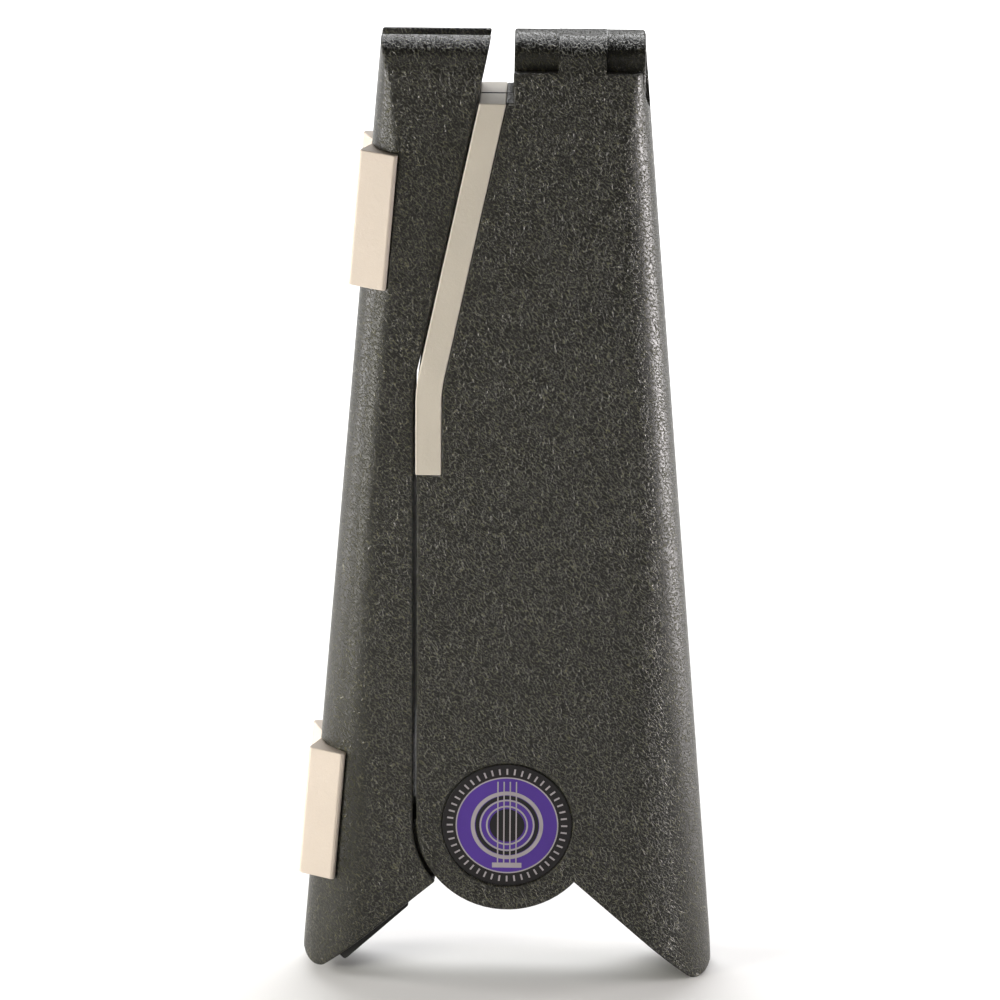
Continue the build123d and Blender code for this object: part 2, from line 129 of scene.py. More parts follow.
class SoftSettings(PropertyGroup):
    foot_colour: FloatVectorProperty(
        name="Foot colour", description="Base colour of the wedge feet",
        subtype="COLOR", size=3, min=0.0, max=1.0, default=(0.50, 0.435, 0.375),
    )
    pad_colour: FloatVectorProperty(
        name="Pad colour", description="Base colour of the backrest and cradle pads",
        subtype="COLOR", size=3, min=0.0, max=1.0, default=(0.52, 0.475, 0.41),
    )
    bumper_colour: FloatVectorProperty(
        name="Bumper colour", description="Base colour of the rubber stop bumpers",
        subtype="COLOR", size=3, min=0.0, max=1.0, default=(0.018, 0.018, 0.017),
    )
    edge_radius: FloatProperty(
        name="Edge rounding", description="How far the soft pieces' edges are rounded", unit="LENGTH",
        min=0.0, default=0.35 * MM,
    )


class BadgeSettings(PropertyGroup):
    field_colour: FloatVectorProperty(
        name="Field colour", description="Colour of the badge's middle",
        subtype="COLOR", size=3, min=0.0, max=1.0, default=(0.072, 0.031, 0.25),
    )
    ring_colour: FloatVectorProperty(
        name="Ring colour", description="Colour of the badge's border",
        subtype="COLOR", size=3, min=0.0, max=1.0, default=(0.010, 0.009, 0.010),
    )
    mark_colour: FloatVectorProperty(
        name="Mark colour", description="Colour of the ticks and the sound-hole drawing",
        subtype="COLOR", size=3, min=0.0, max=1.0, default=(0.34, 0.31, 0.33),
    )
    ticks: IntProperty(
        name="Ticks", description="How many ticks stand round the border", min=4, max=120, default=48,
    )


class StageSettings(PropertyGroup):
    elevation: FloatProperty(
        name="Camera elevation", description="How far the camera looks down", subtype="ANGLE",
        default=math.radians(17.8),
    )
    azimuth: FloatProperty(
        name="Camera azimuth", description="How far the camera stands to the right", subtype="ANGLE",
        default=math.radians(1.0),
    )
    roll: FloatProperty(
        name="Camera roll", description="How far the picture is turned", subtype="ANGLE",
        default=math.radians(0.4),
    )
    distance: FloatProperty(
        name="Camera distance", description="From the camera to the middle of the stand", unit="LENGTH",
        min=0.1, default=CAMERA_DISTANCE,
    )


SETTINGS = {
    "stand_shell": ShellSettings,
    "stand_soft": SoftSettings,
    "stand_badge": BadgeSettings,
    "stand_stage": StageSettings,
}


# ---------------------------------------------------------------- node helpers
def link(tree, out_socket, in_socket):
    tree.links.new(out_socket, in_socket)


def node(tree, kind, values=None, **attributes):
    """A node with its attributes and its inputs' values set."""
    made = tree.nodes.new(kind)
    for name, value in attributes.items():
        setattr(made, name, value)
    for name, value in (values or {}).items():
        made.inputs[name].default_value = value
    return made


def math_node(tree, operation, first, second=None, third=None, clamp=False):
    made = node(tree, "ShaderNodeMath", operation=operation, use_clamp=clamp)
    for socket, value in zip(made.inputs, (first, second, third)):
        if value is None:
            continue
        if isinstance(value, (int, float)):
            socket.default_value = value
        else:
            link(tree, value, socket)
    return made.outputs[0]


def remap(tree, value, low, high, new_low, new_high):
    """The value, from low..high to new_low..new_high, held inside."""
    made = node(tree, "ShaderNodeMapRange", {1: low, 2: high, 3: new_low, 4: new_high}, clamp=True)
    link(tree, value, made.inputs[0])
    return made.outputs[0]


def mix_colour(tree, factor, first, second, blend="MIX"):
    made = node(tree, "ShaderNodeMix", data_type="RGBA", blend_type=blend)
    for socket, value in ((made.inputs[0], factor), (made.inputs[6], first), (made.inputs[7], second)):
        if isinstance(value, (int, float)):
            socket.default_value = value
        elif isinstance(value, (tuple, list)):
            socket.default_value = (*value[:3], 1.0)
        else:
            link(tree, value, socket)
    return made.outputs[2]


def new_group(name, inputs, outputs):
    """An empty shader group with float inputs (name, default) and outputs (name, type)."""
    tree = bpy.data.node_groups.new(name, "ShaderNodeTree")
    tree.interface.new_socket("Vector", in_out="INPUT", socket_type="NodeSocketVector")
    for title, default in inputs:
        socket = tree.interface.new_socket(title, in_out="INPUT", socket_type="NodeSocketFloat")
        socket.default_value = default
    for title, kind in outputs:
        tree.interface.new_socket(title, in_out="OUTPUT", socket_type=kind)
    return tree, tree.nodes.new("NodeGroupInput"), tree.nodes.new("NodeGroupOutput")


def leather_grain_group():
    """Moulded leather grain: raised wrinkles, longer one way and broken here and there, over fine pores."""
    name = "Leather Grain"
    if name in bpy.data.node_groups:
        return bpy.data.node_groups[name]
    tree, entry, leave = new_group(
        name,
        [("Size", 0.0015), ("Stretch", 1.5), ("Angle", 0.7)],
        [("Height", "NodeSocketFloat"), ("Ridge", "NodeSocketFloat")],
    )
    per_metre = math_node(tree, "DIVIDE", 1.0, entry.outputs["Size"])

    # The grain's lie turns and one way it is longer, and a fine wobble bends each wrinkle.
    turned = node(tree, "ShaderNodeVectorRotate", rotation_type="Y_AXIS")
    link(tree, entry.outputs["Vector"], turned.inputs["Vector"])
    link(tree, entry.outputs["Angle"], turned.inputs["Angle"])
    squeeze = node(tree, "ShaderNodeCombineXYZ", {"Y": 1.0, "Z": 1.0})
    link(tree, entry.outputs["Stretch"], squeeze.inputs["X"])
    long_grain = node(tree, "ShaderNodeVectorMath", operation="MULTIPLY")
    link(tree, turned.outputs[0], long_grain.inputs[0])
    link(tree, squeeze.outputs[0], long_grain.inputs[1])
    bent = long_grain.outputs[0]
    for scale, reach in ((0.22, 1.6), (1.3, 0.40)):
        wobble = node(tree, "ShaderNodeTexNoise", {"Detail": 2.0, "Roughness": 0.6})
        link(tree, entry.outputs["Vector"], wobble.inputs["Vector"])
        link(tree, math_node(tree, "MULTIPLY", per_metre, scale), wobble.inputs["Scale"])
        shift = node(tree, "ShaderNodeVectorMath", operation="SCALE")
        link(tree, wobble.outputs["Color"], shift.inputs[0])
        link(tree, math_node(tree, "MULTIPLY", entry.outputs["Size"], reach), shift.inputs["Scale"])
        moved = node(tree, "ShaderNodeVectorMath", operation="ADD")
        link(tree, bent, moved.inputs[0])
        link(tree, shift.outputs[0], moved.inputs[1])
        bent = moved.outputs[0]

    # Two nets of wrinkles, a coarse one and a fine one, each a rounded ridge on its cells' borders.
    ridges = []
    for scale, reach in ((1.0, 0.14), (1.9, 0.18)):
        cells = node(tree, "ShaderNodeTexVoronoi", {"Randomness": 1.0}, feature="DISTANCE_TO_EDGE")
        link(tree, bent, cells.inputs["Vector"])
        link(tree, math_node(tree, "MULTIPLY", per_metre, scale), cells.inputs["Scale"])
        ridge = node(
            tree, "ShaderNodeMapRange", {1: 0.0, 2: reach, 3: 1.0, 4: 0.0}, interpolation_type="SMOOTHSTEP"
        )
        link(tree, cells.outputs["Distance"], ridge.inputs[0])
        ridges.append(ridge.outputs[0])
    breaks = node(tree, "ShaderNodeTexNoise", {"Detail": 2.0, "Roughness": 0.6})
    link(tree, bent, breaks.inputs["Vector"])
    link(tree, math_node(tree, "MULTIPLY", per_metre, 1.7), breaks.inputs["Scale"])
    kept = remap(tree, breaks.outputs[0], 0.49, 0.58, 0.02, 1.0)
    lost = math_node(tree, "SUBTRACT", 1.0, kept)
    pores = node(tree, "ShaderNodeTexNoise", {"Detail": 3.0, "Roughness": 0.7})
    link(tree, bent, pores.inputs["Vector"])
    link(tree, math_node(tree, "MULTIPLY", per_metre, 2.4), pores.inputs["Scale"])
    fleck = remap(tree, pores.outputs[0], 0.49, 0.58, 0.0, 1.0)

    coarse = math_node(tree, "MULTIPLY", ridges[0], kept)
    fine = math_node(tree, "MULTIPLY", ridges[1], math_node(tree, "MULTIPLY", lost, fleck))
    net = math_node(tree, "MAXIMUM", coarse, math_node(tree, "MULTIPLY", fine, 0.8))
    link(tree, math_node(tree, "MULTIPLY_ADD", pores.outputs[0], 0.30, net), leave.inputs["Height"])
    # The Ridge mask, faded here and there by the pores, paints a highlight on the wrinkles' crests and also
    # makes them glossier.
    glint_and_gloss_share = remap(tree, pores.outputs[0], 0.36, 0.56, 0.25, 1.0)
    link(tree, math_node(tree, "MULTIPLY", net, glint_and_gloss_share, clamp=True), leave.inputs["Ridge"])
    return tree


def patina_group():
    """Broad, soft unevenness and fine dust: a slow tone, a handling polish and specks."""
    name = "Patina"
    if name in bpy.data.node_groups:
        return bpy.data.node_groups[name]
    tree, entry, leave = new_group(
        name,
        [("Broad Scale", 30.0), ("Fine Scale", 700.0)],
        [("Tone", "NodeSocketFloat"), ("Polish", "NodeSocketFloat"), ("Specks", "NodeSocketFloat")],
    )
    broad = node(tree, "ShaderNodeTexNoise", {"Detail": 3.0, "Roughness": 0.55})
    fine = node(tree, "ShaderNodeTexNoise", {"Detail": 4.0, "Roughness": 0.7})
    dust = node(tree, "ShaderNodeTexVoronoi", {"Randomness": 1.0}, feature="F1")
    for texture, scale in ((broad, "Broad Scale"), (fine, "Fine Scale"), (dust, "Fine Scale")):
        link(tree, entry.outputs["Vector"], texture.inputs["Vector"])
        link(tree, entry.outputs[scale], texture.inputs["Scale"])
    link(tree, remap(tree, broad.outputs[0], 0.3, 0.7, 0.0, 1.0), leave.inputs["Tone"])
    link(tree, remap(tree, fine.outputs[0], 0.3, 0.7, 0.0, 1.0), leave.inputs["Polish"])
    link(tree, remap(tree, dust.outputs["Distance"], 0.04, 0.10, 1.0, 0.0), leave.inputs["Specks"])
    return tree


def shaded(colour, factor):
    """The colour made darker or paler by a factor."""
    return tuple(c * factor for c in colour)


def start_material(name):
    """A fresh material with its Principled shader and the Object coordinates."""
    material = bpy.data.materials.new(name)
    material.use_nodes = True
    tree = material.node_tree
    tree.nodes.clear()
    out = tree.nodes.new("ShaderNodeOutputMaterial")
    shader = tree.nodes.new("ShaderNodeBsdfPrincipled")
    link(tree, shader.outputs[0], out.inputs["Surface"])
    coords = tree.nodes.new("ShaderNodeTexCoord").outputs["Object"]
    return material, tree, shader, coords


def place_group(tree, group, coords, values):
    made = node(tree, "ShaderNodeGroup", node_tree=group)
    for name, value in values.items():
        made.inputs[name].default_value = value
    link(tree, coords, made.inputs["Vector"])
    return made


def add_bump(tree, shader, height, distance, strength=1.0):
    bump = node(tree, "ShaderNodeBump", {"Distance": distance, "Strength": strength})
    link(tree, height, bump.inputs["Height"])
    link(tree, bump.outputs[0], shader.inputs["Normal"])


def moulding_material():
    """Black plastic with a moulded leather grain: duller ground, glossier wrinkles, and a painted highlight
    that makes the wrinkles' crests paler.
    """
    settings = bpy.context.scene.stand_shell
    material, tree, shader, coords = start_material("Leather-Grained Moulding")
    grain = place_group(tree, leather_grain_group(), coords, {
        "Size": settings.grain_size, "Stretch": 2.1, "Angle": 0.7,
    })
    patina = place_group(tree, patina_group(), coords, {"Broad Scale": 26.0, "Fine Scale": 900.0})
    ground = tuple(settings.colour)
    dark = shaded(ground, 0.45)
    warm = tuple(c * f for c, f in zip(ground, (1.35, 1.25, 1.10)))
    toned = mix_colour(tree, patina.outputs["Tone"], ground, warm)
    toned = mix_colour(tree, patina.outputs["Polish"], dark, toned)
    # Painted highlight: the wrinkles' crests take the paler crest colour, standing in for their glints of
    # light.
    glinted_colour = mix_colour(tree, grain.outputs["Ridge"], toned, tuple(settings.crest_glint_colour))
    link(tree, glinted_colour, shader.inputs["Base Color"])
    rough = remap(tree, grain.outputs["Ridge"], 0.0, 0.8, 0.34, 0.15)
    rough = math_node(tree, "MULTIPLY_ADD", patina.outputs["Polish"], 0.06, rough, clamp=True)
    link(tree, rough, shader.inputs["Roughness"])
    shader.inputs["Specular IOR Level"].default_value = 0.42
    shader.inputs["IOR"].default_value = 1.5
    add_bump(tree, shader, grain.outputs["Height"], settings.grain_depth)
    return material


def cover_material():
    """Finely spark-textured black plastic for the plates on the inner faces."""
    settings = bpy.context.scene.stand_shell
    material, tree, shader, coords = start_material("Spark-Textured Cover")
    patina = place_group(tree, patina_group(), coords, {"Broad Scale": 34.0, "Fine Scale": 1900.0})
    base = tuple(settings.colour)
    tone = mix_colour(tree, patina.outputs["Tone"], shaded(base, 0.8), shaded(base, 1.15))
    dusty = mix_colour(tree, math_node(tree, "MULTIPLY", patina.outputs["Specks"], 0.12), tone, DUST)
    link(tree, dusty, shader.inputs["Base Color"])
    link(tree, remap(tree, patina.outputs["Polish"], 0.0, 1.0, 0.52, 0.70), shader.inputs["Roughness"])
    add_bump(tree, shader, patina.outputs["Polish"], 0.05 * MM)
    return material


def elastomer_material(name, colour, roughness, shade):
    """Soft moulded rubber: matt, faintly mottled, with a fine skin and a few specks of lint."""
    material, tree, shader, coords = start_material(name)
    patina = place_group(tree, patina_group(), coords, {"Broad Scale": 70.0, "Fine Scale": 1300.0})
    toned = mix_colour(tree, patina.outputs["Tone"], tuple(colour), shaded(colour, shade))
    lint = tuple(min(1.0, c * 0.62 + 0.02) for c in colour)
    toned = mix_colour(tree, math_node(tree, "MULTIPLY", patina.outputs["Specks"], 0.25), toned, lint)
    link(tree, toned, shader.inputs["Base Color"])
    rough = remap(tree, patina.outputs["Polish"], 0.0, 1.0, roughness - 0.06, roughness + 0.06)
    link(tree, rough, shader.inputs["Roughness"])
    shader.inputs["Specular IOR Level"].default_value = 0.35
    shader.inputs["Subsurface Weight"].default_value = 0.06
    shader.inputs["Subsurface Radius"].default_value = (0.6, 0.45, 0.3)
    shader.inputs["Subsurface Scale"].default_value = 0.8 * MM
    add_bump(tree, shader, patina.outputs["Polish"], 0.035 * MM)
    return material


def steel_material(name, colour, roughness):
    """Plated steel with a fine uneven polish and a little tarnish."""
    material, tree, shader, coords = start_material(name)
    patina = place_group(tree, patina_group(), coords, {"Broad Scale": 160.0, "Fine Scale": 2600.0})
    tarnished = mix_colour(tree, patina.outputs["Tone"], colour, shaded(colour, 0.78))
    link(tree, tarnished, shader.inputs["Base Color"])
    shader.inputs["Metallic"].default_value = 1.0
    rough = remap(tree, patina.outputs["Polish"], 0.0, 1.0, roughness - 0.07, roughness + 0.10)
    link(tree, rough, shader.inputs["Roughness"])
    add_bump(tree, shader, patina.outputs["Polish"], 0.012 * MM)
    return material


def badge_material():
    """The badge's disc: a plain field inside a dark border. Its rings and ticks are separate pieces."""
    settings = bpy.context.scene.stand_badge
    material, tree, shader, coords = start_material("Printed Badge")
    centred = node(tree, "ShaderNodeMapping", vector_type="POINT")
    centred.inputs["Location"].default_value = (-PIVOT_X, 0.0, -PIVOT_Z)
    link(tree, coords, centred.inputs["Vector"])
    parts = node(tree, "ShaderNodeSeparateXYZ")
    link(tree, centred.outputs[0], parts.inputs[0])
    across, up = parts.outputs["X"], parts.outputs["Z"]
    squares = math_node(tree, "MULTIPLY_ADD", across, across, math_node(tree, "MULTIPLY", up, up))
    radius = math_node(tree, "DIVIDE", math_node(tree, "SQRT", squares), BADGE_RADIUS)

    patina = place_group(tree, patina_group(), coords, {"Broad Scale": 90.0, "Fine Scale": 1500.0})
    plain = tuple(settings.field_colour)
    field = mix_colour(tree, patina.outputs["Tone"], plain, shaded(plain, 0.86))
    border = math_node(tree, "GREATER_THAN", radius, 0.785)
    colour = mix_colour(tree, border, field, tuple(settings.ring_colour))
    specks = math_node(tree, "MULTIPLY", patina.outputs["Specks"], 0.08)
    link(tree, mix_colour(tree, specks, colour, tuple(settings.mark_colour)), shader.inputs["Base Color"])
    link(tree, remap(tree, patina.outputs["Polish"], 0.0, 1.0, 0.30, 0.42), shader.inputs["Roughness"])
    shader.inputs["Specular IOR Level"].default_value = 0.28
    add_bump(tree, shader, patina.outputs["Polish"], 0.008 * MM)
    return material


def print_material(name, colour):
    """Matt ink of the badge's ticks and drawing; the pale ink also makes the painted highlight ring of the
    recess rim.
    """
    material, tree, shader, coords = start_material(name)
    patina = place_group(tree, patina_group(), coords, {"Broad Scale": 200.0, "Fine Scale": 2400.0})
    uneven = mix_colour(tree, patina.outputs["Tone"], colour, shaded(colour, 0.85))
    link(tree, uneven, shader.inputs["Base Color"])
    link(tree, remap(tree, patina.outputs["Polish"], 0.0, 1.0, 0.38, 0.5), shader.inputs["Roughness"])
    shader.inputs["Specular IOR Level"].default_value = 0.28
    return material


def made_once(name, maker):
    """The named material, made the first time it is asked for."""
    if name in bpy.data.materials:
        return bpy.data.materials[name]
    return maker()


# ---------------------------------------------------------------- mesh helpers
def put_in_scene(name, data):
    """A new object of the data, linked to the scene."""
    made = bpy.data.objects.new(name, data)
    bpy.context.scene.collection.objects.link(made)
    return made


def joined_mesh(source):
    """A bmesh of a CAD node with its loose triangles joined, slivers closed up and its flats made whole."""
    work = bmesh.new()
    work.from_mesh(frame["nodes"][source].data)
    bmesh.ops.remove_doubles(work, verts=work.verts, dist=WELD)
    bmesh.ops.dissolve_degenerate(work, dist=SLIVER, edges=work.edges)
    bmesh.ops.dissolve_limit(
        work, angle_limit=math.radians(0.4), verts=work.verts, edges=work.edges, use_dissolve_boundaries=False
    )
    work.normal_update()
    return work


def outer_edges(work, left_sharp):
    """The convex sharp edges, less those that the test says are left sharp."""
    return [
        edge for edge in work.edges
        if len(edge.link_faces) == 2 and edge.is_convex and edge.calc_face_angle(0.0) > BEVEL_ANGLE
        and not left_sharp((edge.verts[0].co + edge.verts[1].co) / 2)
    ]


def close_seams(work):
    """Brings neighbouring knuckles together, so that no light shows through between them."""
    for vert in work.verts:
        for seam in KNUCKLE_SEAMS:
            off = vert.co.x - seam
            if vert.co.z > KNUCKLE_FOOT and abs(off) < 0.12 * MM:
                vert.co.x = seam + math.copysign(0.02 * MM, off)


def stays_sharp(side):
    """A test for the edges that meet a neighbour closely: between knuckles and round the pad's top end."""
    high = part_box(f"{side}_backrest_pad")[1]

    def test(place):
        if place.z > KNUCKLE_FOOT and min(abs(place.x - seam) for seam in KNUCKLE_SEAMS) < 0.4 * MM:
            return True
        return (
            high.x - 12 * MM < place.x < high.x + 3 * MM and high.z - 6 * MM < place.z < high.z + 7 * MM
            and abs(place.y) < 11 * MM
        )

    return test


def rounded_copy(source, width, material, segments=3, left_sharp=lambda place: False):
    """A copy of a CAD node with its outer edges rounded; the CAD node is replaced by it."""
    work = joined_mesh(source)
    if source.endswith("upright_shell"):
        close_seams(work)
    if width > 0:
        edges = outer_edges(work, left_sharp)
        bmesh.ops.bevel(
            work, geom=edges, offset=width, offset_type="OFFSET", segments=segments, profile=0.5,
            affect="EDGES", clamp_overlap=False, loop_slide=True, miter_outer="SHARP",
        )
        bmesh.ops.remove_doubles(work, verts=work.verts, dist=1e-6)
        bmesh.ops.dissolve_degenerate(work, dist=1e-6, edges=work.edges)
    for face in work.faces:
        face.smooth = True
    mesh = bpy.data.meshes.new(source)
    work.to_mesh(mesh)
    work.free()
    mesh.materials.append(material)
    mesh.set_sharp_from_angle(angle=SHARP_ANGLE)
    piece = put_in_scene(source + "_finish", mesh)
    weight = piece.modifiers.new("Even shading", "WEIGHTED_NORMAL")
    weight.keep_sharp = True
    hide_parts(source)
    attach(piece, BODY_OF_NODE[source])
    return piece


# ---------------------------------------------------------------- Geometry Nodes helpers
def new_geometry_tree(name, inputs):
    """An empty Geometry Nodes tree; each input is its name, socket type and default."""
    tree = bpy.data.node_groups.new(name, "GeometryNodeTree")
    tree.interface.new_socket("Geometry", in_out="INPUT", socket_type="NodeSocketGeometry")
    for title, kind, default in inputs:
        socket = tree.interface.new_socket(title, in_out="INPUT", socket_type=kind)
        if default is not None:
            socket.default_value = default
    tree.interface.new_socket("Geometry", in_out="OUTPUT", socket_type="NodeSocketGeometry")
    return tree, tree.nodes.new("NodeGroupInput"), tree.nodes.new("NodeGroupOutput")


def close_tree(tree, entry, leave, instances):
    """Ends a tree in Realize Instances and Set Material."""
    solid = node(tree, "GeometryNodeRealizeInstances")
    link(tree, instances, solid.inputs["Geometry"])
    finish = node(tree, "GeometryNodeSetMaterial")
    link(tree, solid.outputs[0], finish.inputs["Geometry"])
    link(tree, entry.outputs["Material"], finish.inputs["Material"])
    link(tree, finish.outputs[0], leave.inputs["Geometry"])


def grow(name, points, tree, values):
    """Runs a Geometry Nodes tree on loose points; gives the result as a plain mesh object."""
    seed = bpy.data.meshes.new(name + "_points")
    seed.from_pydata(points, [], [])
    holder = put_in_scene(name + "_points", seed)
    modifier = holder.modifiers.new("Grow", "NODES")
    modifier.node_group = tree
    for item in tree.interface.items_tree:
        if item.item_type == "SOCKET" and item.in_out == "INPUT" and item.name in values:
            modifier[item.identifier] = values[item.name]
    depsgraph = bpy.context.evaluated_depsgraph_get()
    mesh = bpy.data.meshes.new_from_object(holder.evaluated_get(depsgraph), depsgraph=depsgraph)
    bpy.data.objects.remove(holder)
    mesh.name = name
    return put_in_scene(name, mesh)


def instance_on(tree, points, shape, rotation=None):
    placed = node(tree, "GeometryNodeInstanceOnPoints")
    link(tree, points, placed.inputs["Points"])
    link(tree, shape, placed.inputs["Instance"])
    if rotation is not None:
        link(tree, rotation, placed.inputs["Rotation"])
    return placed.outputs[0]


def turned_shape(tree, shape, rotation=None, shift=None):
    moved = node(tree, "GeometryNodeTransform")
    link(tree, shape, moved.inputs["Geometry"])
    if rotation is not None:
        moved.inputs["Rotation"].default_value = rotation
    if shift is not None:
        link(tree, shift, moved.inputs["Translation"])
    return moved.outputs[0]


def vector_of(tree, x=0.0, y=0.0, z=0.0):
    made = node(tree, "ShaderNodeCombineXYZ")
    for socket, value in zip(made.inputs, (x, y, z)):
        if isinstance(value, (int, float)):
            socket.default_value = value
        else:
            link(tree, value, socket)
    return made.outputs[0]


def tick_ring_tree():
    """A ring of ticks that stand on end round each point, in the plane across Y."""
    name = "Tick Ring"
    if name in bpy.data.node_groups:
        return bpy.data.node_groups[name]
    tree, entry, leave = new_geometry_tree(name, [
        ("Count", "NodeSocketInt", 48), ("Radius", "NodeSocketFloat", 14.0 * MM),
        ("Length", "NodeSocketFloat", 1.2 * MM), ("Width", "NodeSocketFloat", 0.3 * MM),
        ("Thickness", "NodeSocketFloat", 0.05 * MM), ("Material", "NodeSocketMaterial", None),
    ])
    ring = node(tree, "GeometryNodeMeshCircle", fill_type="NONE")
    link(tree, entry.outputs["Count"], ring.inputs["Vertices"])
    link(tree, entry.outputs["Radius"], ring.inputs["Radius"])
    tick = node(tree, "GeometryNodeMeshCube")
    size = vector_of(tree, entry.outputs["Length"], entry.outputs["Width"], entry.outputs["Thickness"])
    link(tree, size, tick.inputs["Size"])
    step = math_node(tree, "DIVIDE", math.tau, entry.outputs["Count"])
    angle = math_node(tree, "MULTIPLY", node(tree, "GeometryNodeInputIndex").outputs[0], step)
    ticks = instance_on(tree, ring.outputs[0], tick.outputs[0], vector_of(tree, z=angle))
    upright = turned_shape(tree, ticks, rotation=(math.radians(90), 0.0, 0.0))
    close_tree(tree, entry, leave, instance_on(tree, entry.outputs["Geometry"], upright))
    return tree


def screw_tree():
    """A cross-head screw on each point: its head's outer face there, its shank down -Z before the Turn."""
    name = "Cross Screw"
    if name in bpy.data.node_groups:
        return bpy.data.node_groups[name]
    tree, entry, leave = new_geometry_tree(name, [
        ("Head Radius", "NodeSocketFloat", 2.2 * MM), ("Head Height", "NodeSocketFloat", 1.0 * MM),
        ("Shank Radius", "NodeSocketFloat", 1.1 * MM), ("Shank Length", "NodeSocketFloat", 7.0 * MM),
        ("Recess", "NodeSocketFloat", 0.6 * MM), ("Turn", "NodeSocketRotation", None),
        ("Material", "NodeSocketMaterial", None),
    ])
    # The head's outer face is at the point; the head and shank hang below it before the turn.
    head = node(tree, "GeometryNodeMeshCone", {"Vertices": 40})
    link(tree, entry.outputs["Head Radius"], head.inputs["Radius Bottom"])
    link(tree, math_node(tree, "MULTIPLY", entry.outputs["Head Radius"], 0.86), head.inputs["Radius Top"])
    link(tree, entry.outputs["Head Height"], head.inputs["Depth"])
    base = math_node(tree, "MULTIPLY", entry.outputs["Head Height"], -1.0)
    head_placed = turned_shape(tree, head.outputs[0], shift=vector_of(tree, z=base))
    arms = node(tree, "GeometryNodeJoinGeometry")
    for long_side in ("X", "Y"):
        blade = node(tree, "GeometryNodeMeshCube")
        span = math_node(tree, "MULTIPLY", entry.outputs["Head Radius"], 1.15)
        thin = math_node(tree, "MULTIPLY", entry.outputs["Head Radius"], 0.24)
        deep = math_node(tree, "MULTIPLY", entry.outputs["Recess"], 2.0)
        size = vector_of(tree, span, thin, deep) if long_side == "X" else vector_of(tree, thin, span, deep)
        link(tree, size, blade.inputs["Size"])
        link(tree, blade.outputs[0], arms.inputs[0])
    cut = node(tree, "GeometryNodeMeshBoolean", operation="DIFFERENCE", solver="EXACT")
    link(tree, head_placed, cut.inputs[0])
    link(tree, arms.outputs[0], cut.inputs[1])
    shank = node(tree, "GeometryNodeMeshCylinder", {"Vertices": 24})
    link(tree, entry.outputs["Shank Radius"], shank.inputs["Radius"])
    link(tree, entry.outputs["Shank Length"], shank.inputs["Depth"])
    half = math_node(tree, "MULTIPLY", entry.outputs["Shank Length"], -0.5)
    middle = math_node(tree, "ADD", half, base)
    shank_placed = turned_shape(tree, shank.outputs[0], shift=vector_of(tree, z=middle))
    whole = node(tree, "GeometryNodeJoinGeometry")
    link(tree, cut.outputs[0], whole.inputs[0])
    link(tree, shank_placed, whole.inputs[0])
    close_tree(tree, entry, leave, instance_on(
        tree, entry.outputs["Geometry"], whole.outputs[0], entry.outputs["Turn"]))
    return tree


def loose_boxes(source):
    """The lowest and highest corner of each separate solid in a CAD node."""
    work = bmesh.new()
    work.from_mesh(frame["nodes"][source].data)
    bmesh.ops.remove_doubles(work, verts=work.verts, dist=WELD)
    left, boxes = set(work.verts), []
    while left:
        reached, fringe = set(), [left.pop()]
        while fringe:
            corner = fringe.pop()
            reached.add(corner)
            for side in corner.link_edges:
                other = side.other_vert(corner)
                if other in left:
                    left.discard(other)
                    fringe.append(other)
        boxes.append(tuple(
            Vector([pick(corner.co[axis] for corner in reached) for axis in range(3)]) for pick in (min, max)
        ))
    work.free()
    return sorted(boxes, key=lambda box: box[0].z)


def flat_ring(work, centre, inner, outer, near, far, segments=96):
    """Adds a flat ring across Y to a bmesh, from near to far in Y; an inner radius of nought gives a disc."""
    start = len(work.verts)
    for y in (near, far):
        for radius in (outer, inner) if inner > 0 else (outer,):
            for step in range(segments):
                angle = math.tau * step / segments
                across, up = radius * math.cos(angle), radius * math.sin(angle)
                work.verts.new((centre[0] + across, y, centre[1] + up))
    work.verts.ensure_lookup_table()
    rows = 4 if inner > 0 else 2
    loops = [work.verts[start + row * segments:start + (row + 1) * segments] for row in range(rows)]
    pairs = ((0, 1), (1, 3), (3, 2), (2, 0)) if inner > 0 else ((0, 1),)
    for first, second in pairs:
        for step in range(segments):
            after = (step + 1) % segments
            near_loop, far_loop = loops[first], loops[second]
            work.faces.new((near_loop[step], near_loop[after], far_loop[after], far_loop[step]))
    if inner <= 0:
        work.faces.new(loops[0])
        work.faces.new(loops[1])


def flat_bar(work, low, high):
    """Adds a box between two corners to a bmesh."""
    made = bmesh.ops.create_cube(work, size=1.0)["verts"]
    low, high = Vector(low), Vector(high)
    for corner in made:
        corner.co = Vector([(low[i] + high[i]) / 2 + corner.co[i] * abs(high[i] - low[i]) for i in range(3)])


def shaped_piece(name, work, material):
    """A plain mesh object from a bmesh, its faces turned outwards."""
    bmesh.ops.recalc_face_normals(work, faces=work.faces)
    mesh = bpy.data.meshes.new(name)
    work.to_mesh(mesh)
    work.free()
    mesh.materials.append(material)
    return put_in_scene(name, mesh)


# ---------------------------------------------------------------- operators
class STAND_OT_shells(Operator):
    """Rounds and grains the four moulded shells"""

    bl_idname = "stand.shells"
    bl_label = "Moulded Shells"

    def execute(self, context):
        moulding = made_once("Leather-Grained Moulding", moulding_material)
        for side in SIDES:
            radius = context.scene.stand_shell.edge_radius
            rounded_copy(f"{side}_upright_shell", radius, moulding, left_sharp=stays_sharp(side))
            rounded_copy(f"{side}_arm_shell", radius, moulding)
        return {"FINISHED"}


class STAND_OT_covers(Operator):
    """Finishes the plates that close the mouldings on their inner faces"""

    bl_idname = "stand.covers"
    bl_label = "Inner Covers"

    def execute(self, context):
        cover = made_once("Spark-Textured Cover", cover_material)
        for side in SIDES:
            for part in ("upright_cover", "arm_cover"):
                rounded_copy(f"{side}_{part}", 0.3 * MM, cover, segments=2)
        return {"FINISHED"}


